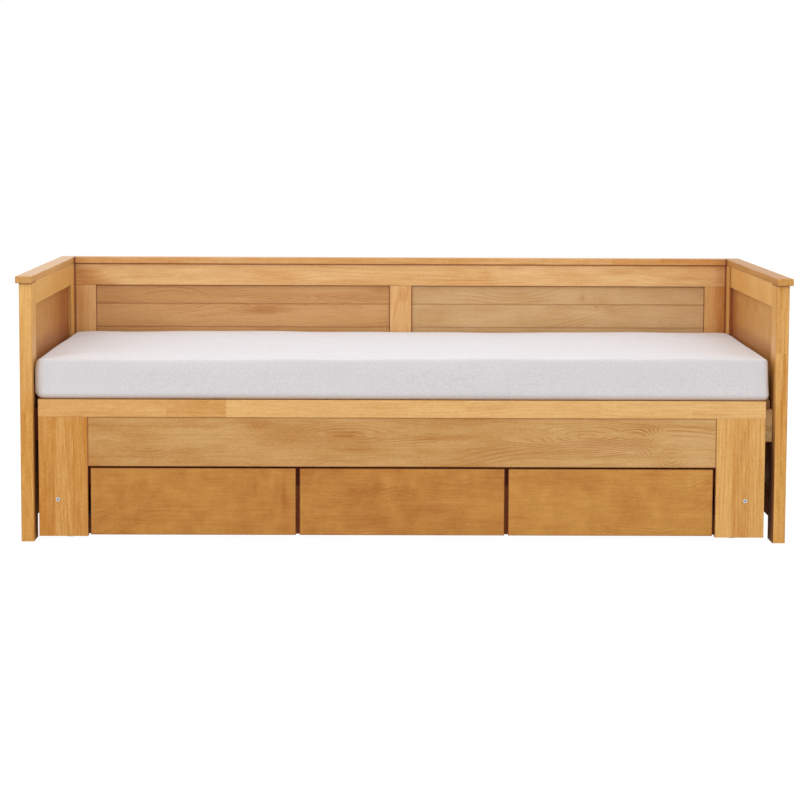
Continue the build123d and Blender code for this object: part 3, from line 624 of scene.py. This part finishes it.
def boxSkin(halves, counts):
    # the six faces of a box as grids of points that share their borders: a quad mesh without poles
    points, quads, offset = [], [], 0
    for axis in range(3):
        u, v = (axis + 1) % 3, (axis + 2) % 3
        gridU, gridV = np.meshgrid(counts[u], counts[v], indexing="ij")
        rows, columns = gridU.shape
        for sign in (-1, 1):
            face = np.zeros((rows, columns, 3))
            face[..., axis] = sign * halves[axis]
            face[..., u] = gridU
            face[..., v] = gridV
            number = offset + np.arange(rows * columns).reshape(rows, columns)
            corners = [number[:-1, :-1], number[1:, :-1], number[1:, 1:], number[:-1, 1:]]
            if sign < 0:
                corners.reverse()
            quads.append(np.stack(corners, -1).reshape(-1, 4))
            points.append(face.reshape(-1, 3))
            offset += rows * columns
    points = np.concatenate(points)
    quads = np.concatenate(quads)
    _, keep, same = np.unique(np.round(points, 6), axis=0, return_index=True, return_inverse=True)
    return points[keep], same.reshape(-1)[quads]


def cornerRadius(points):
    # left or right, then front or back
    return np.array(mattress["corners"])[(points[:, 0] > 0).astype(int), (points[:, 1] > 0).astype(int)]


def roundPlan(points, halves):
    # the square at each upright corner is drawn onto a quarter disc: both distances shrink by max over root
    inner = halves[:2] - cornerRadius(points)[:, None]
    over = np.maximum(np.abs(points[:, :2]) - inner, 0)
    length = np.hypot(over[:, 0], over[:, 1])
    scale = np.where(length > 0, over.max(1) / np.maximum(length, 1e-9), 1)
    moved = np.sign(points[:, :2]) * (np.minimum(np.abs(points[:, :2]), inner) + over * scale[:, None])
    return np.column_stack([moved, points[:, 2]])


def outward(points, halves):
    # distance inside the rounded outline, and the direction straight out of it
    radius = cornerRadius(points)
    beyond = np.abs(points[:, :2]) - (halves[:2] - radius[:, None])
    both = np.maximum(beyond, 0)
    length = np.hypot(both[:, 0], both[:, 1])
    inside = radius - np.where(length > 0, length, beyond.max(1))
    alongX = beyond[:, 0] > beyond[:, 1]
    straight = np.column_stack([alongX, ~alongX]).astype(float)
    way = np.where((length > 0)[:, None], both / np.maximum(length, 1e-9)[:, None], straight)
    return inside, way * np.where(points[:, :2] < 0, -1, 1)


def roundEdges(points, halves):
    # the same square-to-disc step in the plane of inset and height, for the top and bottom edges
    edge = np.where(points[:, 2] > 0, mattress["topEdge"], mattress["bottomEdge"])
    inside, way = outward(points, halves)
    below = halves[2] - np.abs(points[:, 2])
    u, v = np.clip(edge - inside, 0, None), np.clip(edge - below, 0, None)
    length = np.hypot(u, v)
    scale = np.where((u > 0) & (v > 0), np.maximum(u, v) / np.maximum(length, 1e-9), 1)
    height = np.sign(points[:, 2]) * (halves[2] - edge + v * scale)
    z = np.where(v > 0, height, points[:, 2])
    return np.column_stack([points[:, :2] + way * (u * scale - u)[:, None], z])


def meshPiece(name, points, quads, material):
    mesh = bpy.data.meshes.new(name)
    mesh.from_pydata(points.tolist(), [], quads.tolist())
    mesh.update()
    mesh.shade_smooth()
    piece = bpy.data.objects.new(name, mesh)
    bpy.context.scene.collection.objects.link(piece)
    mesh.materials.append(material)
    return piece


def readPoints(mesh):
    flat = np.empty(len(mesh.vertices) * 3, np.float32)
    mesh.vertices.foreach_get("co", flat)
    return flat.reshape(-1, 3).astype(float)


def keepClear(points):
    # the left end stops in line with the posts; the right end may run on a little towards its panel, which is set
    # back between the posts, and by an S-shaped share of the way near them
    least, more = mattress["room"]
    inner, outer = mattress["recess"]
    share = np.clip((outer - np.abs(points[:, 1])) / (outer - inner), 0, 1)
    room = least + more * share * share * (3 - 2 * share)
    return np.clip(points[:, 0], -least, room)


def swell(piece, floorLevel):
    # the cover as cloth over pressed foam: the base stays pinned, and no point moves further than the cap
    start = readPoints(piece.data)
    group = piece.vertex_groups.new(name="base")
    low = [int(i) for i in np.flatnonzero(start[:, 2] < floorLevel + 0.002)]
    group.add(low, 1.0, "REPLACE")
    cloth = piece.modifiers.new("cloth", "CLOTH")
    cloth.settings.use_pressure = True
    cloth.settings.uniform_pressure_force = mattress["pressure"]
    cloth.settings.effector_weights.gravity = 0.0
    cloth.settings.vertex_group_mass = "base"
    cloth.settings.quality = 4
    scene = bpy.context.scene
    for number in range(1, mattress["frames"] + 1):
        scene.frame_set(number)
    swollen = readPoints(piece.evaluated_get(bpy.context.evaluated_depsgraph_get()).data)
    piece.modifiers.remove(cloth)
    piece.vertex_groups.remove(group)
    scene.frame_set(1)
    move = swollen - start
    size = np.linalg.norm(move, axis=1, keepdims=True)
    print("mattress swells by", round(float(size.max()) * 1000, 1), "mm before the cap")
    rise = np.clip((start[:, 2:] - floorLevel) / mattress["grip"], 0, 1)  # the base stays on the slats
    move *= np.minimum(1, mattress["cap"] / np.maximum(size, 1e-9)) * rise * rise * (3 - 2 * rise)
    swollen = start + move
    swollen[:, 0] = keepClear(swollen)
    piece.data.vertices.foreach_set("co", swollen.astype(np.float32).ravel())
    piece.data.update()


def makeKnit():
    # heather: pale and grey fibres spun together, in fine rows of stitches
    shader = Shader("heather_knit")
    place = shader.objectPlace()
    x, y, z = shader.split(place)
    clouds = shader.noise(place, 12.0, 2.0)
    flecks = shader.noise(shader.vector("MULTIPLY", place, (0.7, 0.7, 1.2)), mattress["heather"], 3.0, 0.6)
    fibres = shader.noise(place, 900.0, 2.0)
    rows = ((y + z) * (math.tau / 0.0021)).sine()
    columns = ((x + (fibres - 0.5) * 0.0006) * (math.tau / 0.0026)).sine()
    stitches = rows * columns
    amount = shader.smooth(flecks * 0.75 + fibres * 0.25 + clouds * 0.12, 0.42, 0.72)
    colour = shader.blend(amount, mattress["thread"], mattress["fleck"])
    bend = shader.add("Attribute", {"attribute_name": "bend"}, output="Fac")
    colour = shader.blend(bend, colour, mattress["stretched"])  # painted shade: the knit is greyed along the rounded top edge, where the lamps light a bright line
    normal = shader.bump(0.25, 0.0004, stitches * 0.5 + fibres * 0.6)
    return shader.principled({"Base Color": colour, "Roughness": 0.92, "Normal": normal, "Sheen Weight": 0.15,
                              "Sheen Roughness": 0.5, "IOR": 1.3})


def makeMattress():
    # a box with rounded corners and edges, whose ends swell at mid height, whose top rises
    # to a crown, and whose right end runs a little wider towards the back
    low, high = (np.array(corner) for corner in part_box("mattress"))
    ends = mattress["ends"]
    halves = (high - low) / 2 - mattress["inset"]
    halves[0] = (ends[1] - ends[0]) / 2
    halves[2] = (high[2] - low[2] - mattress["crown"] - mattress["inset"]) / 2
    middle = (low + high) / 2
    middle[0] = (ends[0] + ends[1]) / 2
    middle[2] = low[2] + halves[2]
    points, quads = boxSkin(halves, [ticks(half) for half in halves])
    points = roundEdges(roundPlan(points, halves), halves)
    share = points / halves
    across = np.clip(1 - share ** 4, 0, 1)
    barrel = (1 - share[:, 2] ** 2) * np.sign(share[:, 0]) * np.abs(share[:, 0]) ** 60
    belly = (1 - share[:, 2] ** 2) * np.sign(share[:, 1]) * np.abs(share[:, 1]) ** 40 * across[:, 0]
    up = np.clip(share[:, 2], 0, 1)
    x, y, z = points.T.copy()
    waves = np.sin(5.1 * x + 0.6) * np.cos(4.3 * y + 1.1) + 0.6 * np.sin(11.3 * x + 2.0 * y)
    waves += 0.5 * np.sin(23.0 * x + 9.0 * y)
    backward = (share[:, 1] + 1) / 2
    points[:, 0] += barrel * np.where(x < 0, mattress["left"], mattress["right"] * (1 - backward))
    points[:, 0] += np.clip(share[:, 0], 0, 1) * (backward * mattress["taper"] - share[:, 2] * mattress["lean"])
    points[:, 1] += belly * (mattress["frontBulge"] + mattress["wave"] * np.sin(9.0 * x + 14.0 * z))
    points[:, 2] += up * (across[:, 0] * across[:, 1] * mattress["crown"] + waves * mattress["wave"])
    rightward = (share[:, 0] + 1) / 2
    (leftFront, leftBack), (rightFront, rightBack) = mattress["sag"]
    front = leftFront * (1 - rightward) + rightFront * rightward
    back = leftBack * (1 - rightward) + rightBack * rightward
    points[:, 2] += up * (front * (1 - backward) + back * backward)
    inside, way = outward(np.column_stack([x, y, z]), halves)
    # painted shade along the rounded top edge, handed to the knit as an attribute
    bend = 1 - np.clip(np.maximum(inside, halves[2] - z) / mattress["topEdge"] - 0.3, 0, 1)
    points += middle
    points[:, 0] = keepClear(points)
    piece = meshPiece("mattress_cover", points, quads, makeKnit())
    piece.data.attributes.new("bend", "FLOAT", "POINT").data.foreach_set("value", bend.astype(np.float32))
    swell(piece, low[2])
    subdivision = piece.modifiers.new("subdivision", "SUBSURF")
    subdivision.levels = subdivision.render_levels = 1
    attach(piece, "daybed")
    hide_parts("mattress")
    print("mattress:", len(quads), "quads")


makeMattress()


# Stage, light and camera

stage = {"floorHalf": 14.0, "floorColour": tint(196, 196, 196), "seenShare": 0.85, "seenStrength": 1.15,
         "shade": (0.96, -0.37, 0.46), "shadeEdge": 0.04, "worldStrength": 1.0}
lamps = {
    "key": {"place": (-4.2, -4.9, 3.6), "aim": (0.0, 0.0, 0.4), "size": 2.8, "power": 63.0},
    "fill": {"place": (4.4, -4.7, 3.2), "aim": (0.0, 0.0, 0.4), "size": 2.8, "power": 20.0},
    "top": {"place": (0.0, -1.5, 4.2), "aim": (0.0, -0.2, 0.4), "size": 3.2, "power": 32.0},
}
camera = {"place": (-0.08957, -7.44174, 1.13241), "down": 0.1071, "turn": -0.0112, "roll": 0.0043,
          "focalPixels": 2586.1, "imagePixels": 800, "sensor": 36.0}


def seenAsBackdrop(shader):
    # one for rays that look at the backdrop: from the camera, or by way of gloss or glass
    path = shader.add("LightPath")
    return (path + path.other("Is Glossy Ray")).maths("ADD", path.other("Is Transmission Ray"), clamp=True)


def makeFloor():
    shader = Shader("studio_floor")
    seen = seenAsBackdrop(shader)
    grainy = shader.noise(shader.objectPlace(), 3.0, 2.0)
    colour = shader.blend(grainy * 0.04, stage["floorColour"], tint(222, 222, 222))
    matt = shader.add("BsdfPrincipled", values={"Base Color": colour, "Roughness": 1.0, "Specular IOR Level": 0.0})
    glow = shader.add("Emission", values={"Strength": stage["seenStrength"]})
    # right under the object the floor is in deep shade: a soft-edged rectangle where the glow stops
    x, y, z = shader.split(shader.objectPlace())
    wide, front, back = stage["shade"]
    inside = (wide - abs(x)).least(y - front).least(back - y)
    lit = shader.smooth(inside, 0.0, stage["shadeEdge"], 1.0, 0.0)
    material = shader.finish(shader.add("MixShader", values={0: seen * lit * stage["seenShare"], 1: matt, 2: glow}))
    half = stage["floorHalf"]
    corners = np.array([(-half, -half, 0), (half, -half, 0), (half, half, 0), (-half, half, 0)], float)
    floor = meshPiece("studio_floor", corners, np.array([[0, 1, 2, 3]]), material)


def makeWorld():
    world = bpy.data.worlds.new("studio")
    bpy.context.scene.world = world
    shader = Shader("studio", world)
    white = shader.add("Background", values={"Color": (1, 1, 1, 1), "Strength": 1.0})
    soft = shader.add("Background", values={"Color": (1, 1, 1, 1), "Strength": stage["worldStrength"]})
    shader.finish(shader.add("MixShader", values={0: seenAsBackdrop(shader), 1: soft, 2: white}), "World")


def makeLamp(name, lamp):
    light = bpy.data.lights.new(name, "AREA")
    light.energy = lamp["power"]
    light.size = lamp["size"]
    holder = bpy.data.objects.new(name, light)
    holder.location = lamp["place"]
    aim = Vector(lamp["aim"]) - Vector(lamp["place"])
    holder.rotation_euler = aim.to_track_quat("-Z", "Y").to_euler()
    holder.visible_camera = False
    holder.visible_glossy = False
    bpy.context.scene.collection.objects.link(holder)


def makeCamera():
    # the lens looks down and a little to the right, and leans; its axes are worked out from those angles
    down, turn, roll = camera["down"], camera["turn"], camera["roll"]
    level = Vector((-math.sin(turn), math.cos(turn), 0))
    right = Vector((math.cos(turn), math.sin(turn), 0))
    forward = level * math.cos(down) - Vector((0, 0, math.sin(down)))
    up = level * math.sin(down) + Vector((0, 0, math.cos(down)))
    tiltedRight = right * math.cos(roll) + up * math.sin(roll)
    tiltedUp = up * math.cos(roll) - right * math.sin(roll)
    lens = bpy.data.cameras.new("camera")
    lens.sensor_width = camera["sensor"]
    lens.lens = camera["focalPixels"] * camera["sensor"] / camera["imagePixels"]
    lens.clip_end = 100.0
    holder = bpy.data.objects.new("camera", lens)
    turned = Matrix((tiltedRight, tiltedUp, -forward)).transposed()
    holder.matrix_world = Matrix.Translation(camera["place"]) @ turned.to_4x4()
    bpy.context.scene.collection.objects.link(holder)
    bpy.context.scene.camera = holder


makeFloor()
makeWorld()
for name, lamp in lamps.items():
    makeLamp(name, lamp)
makeCamera()
bpy.context.scene.view_settings.view_transform = "Standard"
print("stage, light and camera finished")
